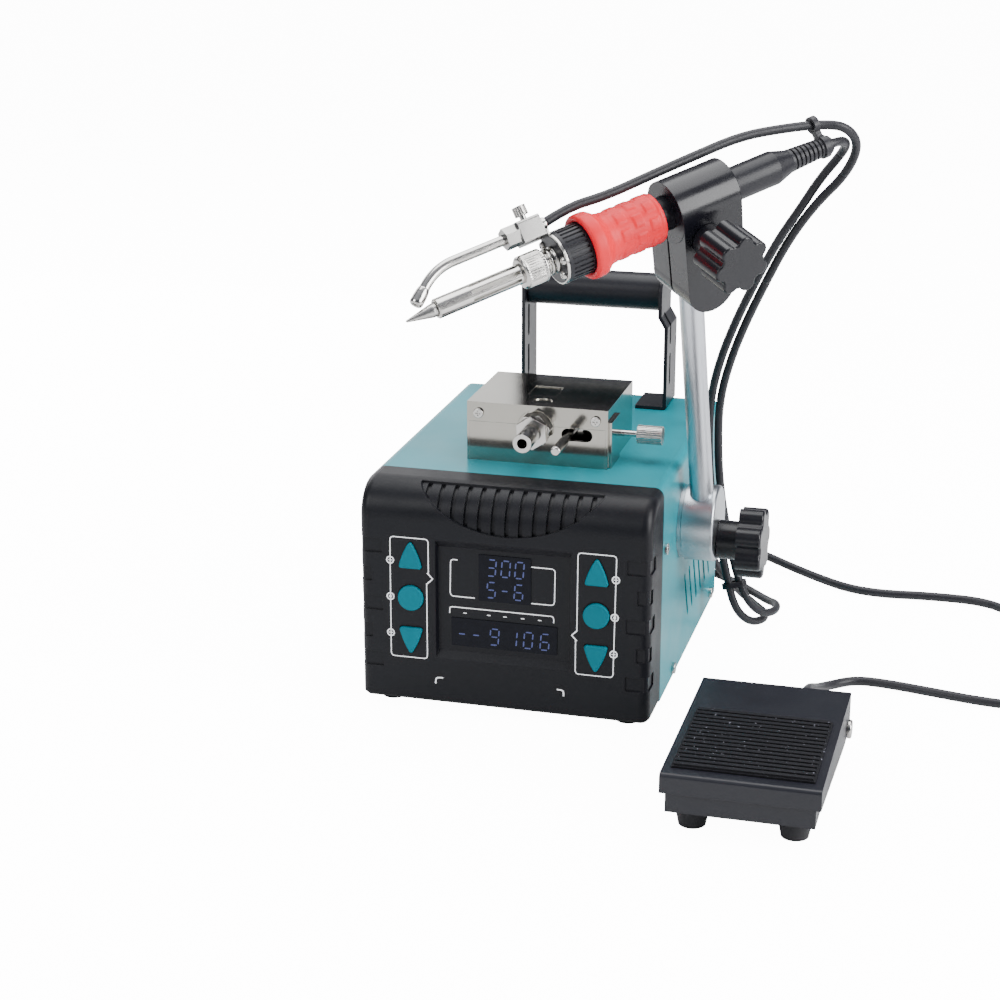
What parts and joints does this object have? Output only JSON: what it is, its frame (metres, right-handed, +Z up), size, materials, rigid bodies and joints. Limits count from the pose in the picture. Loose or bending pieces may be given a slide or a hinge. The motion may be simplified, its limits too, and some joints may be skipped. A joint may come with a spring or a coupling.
{
  "type": "solder-feeding soldering station",
  "caption": "Bench soldering station with a wire feeder on top, an iron held by a jointed side arm, push buttons, a carrying handle and a foot pedal on a cord.",
  "frame": {"origin": "on the bench, under the middle of the whole set's outline without its cords", "axes": "+Z up, -Y out of the front panel, +X towards the iron's stand and the pedal"},
  "size_m": [0.3888, 0.3625, 0.3004],
  "materials": {
    "case_teal": "smooth satin paint",
    "black_case": "fine moulded satin",
    "chassis_steel": "satin black paint",
    "black_metal": "satin black powder coat",
    "screw_steel": "plated",
    "foot_rubber": "matt",
    "smoke_window": "dark tinted window",
    "circuit_board": "solder mask",
    "core_steel": "laminated",
    "teal_button": "satin",
    "feeder_steel": "polished stainless",
    "bright_steel": "machined",
    "alloy": "turned",
    "knob_black": "semi gloss",
    "grip_red": "soft matt",
    "handle_black": "satin gloss",
    "clamp_black": "gloss black",
    "cable_black": "satin sheath",
    "roller_steel": "knurled",
    "copper_tip": "plated iron",
    "pedal_black": "textured coat",
    "mat_rubber": "ribbed",
    "heater_ceramic": "ceramic"
  },
  "bodies": {
    "station": {"base_chassis": "chassis_steel", "case_cover": "case_teal", "rear_panel": "chassis_steel", "front_bezel": "black_case", "case_screws": "screw_steel", "rubber_feet": "foot_rubber", "display_lenses": "smoke_window", "display_board": "circuit_board", "main_board": "circuit_board", "transformer": "core_steel", "mains_inlet": "black_case", "handset_socket": "knob_black", "cord_glands": "knob_black", "handle_frame": "black_metal", "handle_grip": "handle_black", "feeder_box": "feeder_steel", "feeder_cover": "feeder_steel", "wire_port": "bright_steel", "feed_motor": "screw_steel", "arm_flange": "alloy", "iron_cable": "cable_black", "feed_hose": "cable_black", "cable_tie": "knob_black", "pedal_base": "pedal_black", "pedal_feet": "foot_rubber", "pedal_pin": "screw_steel", "pedal_spring": "screw_steel", "pedal_switch": "knob_black", "pedal_cord": "cable_black", "pedal_cord_coil": "cable_black"},
    "rocker": {"power_rocker": "knob_black"},
    "arm": {"arm_boss": "alloy", "arm_rod": "bright_steel"},
    "side_knob": {"arm_knob": "knob_black"},
    "head": {"head_clamp": "clamp_black"},
    "clamp_knob": {"head_knob": "knob_black"},
    "iron": {"iron_handle": "handle_black", "iron_grip": "grip_red", "iron_collar": "handle_black", "guide_plate": "bright_steel", "barrel_nut": "bright_steel", "iron_barrel": "bright_steel", "iron_heater": "heater_ceramic", "iron_tip": "copper_tip", "strain_relief": "cable_black", "guide_block": "bright_steel"},
    "wire_guide": {"guide_tube": "bright_steel"},
    "guide_knob": {"guide_screw": "bright_steel"},
    "pinch": {"pinch_arm": "bright_steel"},
    "drive": {"drive_roller": "roller_steel"},
    "pinch_wheel": {"pinch_roller": "roller_steel"},
    "tension": {"tension_screw": "bright_steel"},
    "pedal": {"pedal_plate": "pedal_black", "pedal_mat": "mat_rubber"},
    "up_button_left_key": {"up_button_left": "teal_button"},
    "round_button_left_key": {"round_button_left": "teal_button"},
    "down_button_left_key": {"down_button_left": "teal_button"},
    "up_button_right_key": {"up_button_right": "teal_button"},
    "round_button_right_key": {"round_button_right": "teal_button"},
    "down_button_right_key": {"down_button_right": "teal_button"}
  },
  "joints": [
    {"name": "up_button_left_press", "type": "slide", "parent": "station", "child": "up_button_left_key", "axis": [0, 1, 0], "range_m": [0, 0.001], "stiffness_N_per_m": 300},
    {"name": "round_button_left_press", "type": "slide", "parent": "station", "child": "round_button_left_key", "axis": [0, 1, 0], "range_m": [0, 0.001], "stiffness_N_per_m": 300},
    {"name": "down_button_left_press", "type": "slide", "parent": "station", "child": "down_button_left_key", "axis": [0, 1, 0], "range_m": [0, 0.001], "stiffness_N_per_m": 300},
    {"name": "up_button_right_press", "type": "slide", "parent": "station", "child": "up_button_right_key", "axis": [0, 1, 0], "range_m": [0, 0.001], "stiffness_N_per_m": 300},
    {"name": "round_button_right_press", "type": "slide", "parent": "station", "child": "round_button_right_key", "axis": [0, 1, 0], "range_m": [0, 0.001], "stiffness_N_per_m": 300},
    {"name": "down_button_right_press", "type": "slide", "parent": "station", "child": "down_button_right_key", "axis": [0, 1, 0], "range_m": [0, 0.001], "stiffness_N_per_m": 300},
    {"name": "rocker_tip", "type": "hinge", "parent": "station", "child": "rocker", "pos_m": [-0.09185, 0.1332, 0.086], "axis": [1, 0, 0], "range_deg": [0, 12]},
    {"name": "arm_tilt", "type": "hinge", "parent": "station", "child": "arm", "pos_m": [0.03575, 0.024, 0.0755], "axis": [1, 0, 0], "range_deg": [-40, 30], "deforming": ["iron_cable", "feed_hose"]},
    {"name": "side_knob_turn", "type": "hinge", "parent": "station", "child": "side_knob", "pos_m": [0.06075, 0.024, 0.0755], "axis": [1, 0, 0], "range_deg": [0, 360]},
    {"name": "head_swivel", "type": "hinge", "parent": "arm", "child": "head", "pos_m": [0.03575, -0.03853, 0.23733], "axis": [0, -0.3778, 0.9259], "range_deg": [-40, 40], "deforming": ["iron_cable", "feed_hose"]},
    {"name": "clamp_knob_turn", "type": "hinge", "parent": "head", "child": "clamp_knob", "pos_m": [0.05685, -0.06534, 0.24659], "axis": [0.7034, -0.6581, -0.2686], "range_deg": [0, 360]},
    {"name": "iron_slide", "type": "slide", "parent": "head", "child": "iron", "axis": [-0.7108, -0.6513, -0.2658], "range_m": [-0.0055, 0.01], "deforming": ["iron_cable", "feed_hose"]},
    {"name": "guide_slide", "type": "slide", "parent": "iron", "child": "wire_guide", "axis": [-0.7108, -0.6513, -0.2658], "range_m": [-0.002, 0.004], "deforming": ["feed_hose"]},
    {"name": "guide_knob_turn", "type": "hinge", "parent": "iron", "child": "guide_knob", "pos_m": [-0.03099, -0.09684, 0.2652], "axis": [-0.4707, 0.1596, 0.8678], "range_deg": [0, 360]},
    {"name": "pinch_swing", "type": "hinge", "parent": "station", "child": "pinch", "pos_m": [-0.02785, 0.0432, 0.13], "axis": [0, 0, 1], "range_deg": [0, 8], "stiffness_Nm_per_rad": 0.5},
    {"name": "drive_turn", "type": "hinge", "parent": "station", "child": "drive", "pos_m": [-0.05425, 0.0232, 0.134], "axis": [0, 0, 1], "continuous": true},
    {"name": "pinch_wheel_turn", "type": "hinge", "parent": "pinch", "child": "pinch_wheel", "pos_m": [-0.04005, 0.0232, 0.134], "axis": [0, 0, 1], "continuous": true},
    {"name": "tension_turn", "type": "hinge", "parent": "station", "child": "tension", "pos_m": [0.00015, 0.0117, 0.133], "axis": [1, 0, 0], "range_deg": [0, 360]},
    {"name": "pedal_press", "type": "hinge", "parent": "station", "child": "pedal", "pos_m": [0.08915, -0.0662, 0.0163], "axis": [1, 0, 0], "range_deg": [0, 3], "stiffness_Nm_per_rad": 8, "springref_deg": -8.59, "deforming": ["pedal_spring"]}
  ],
  "couplings": [
    {"joint": "pinch_wheel_turn", "follows": "drive_turn", "ratio": -1.1667}
  ]
}
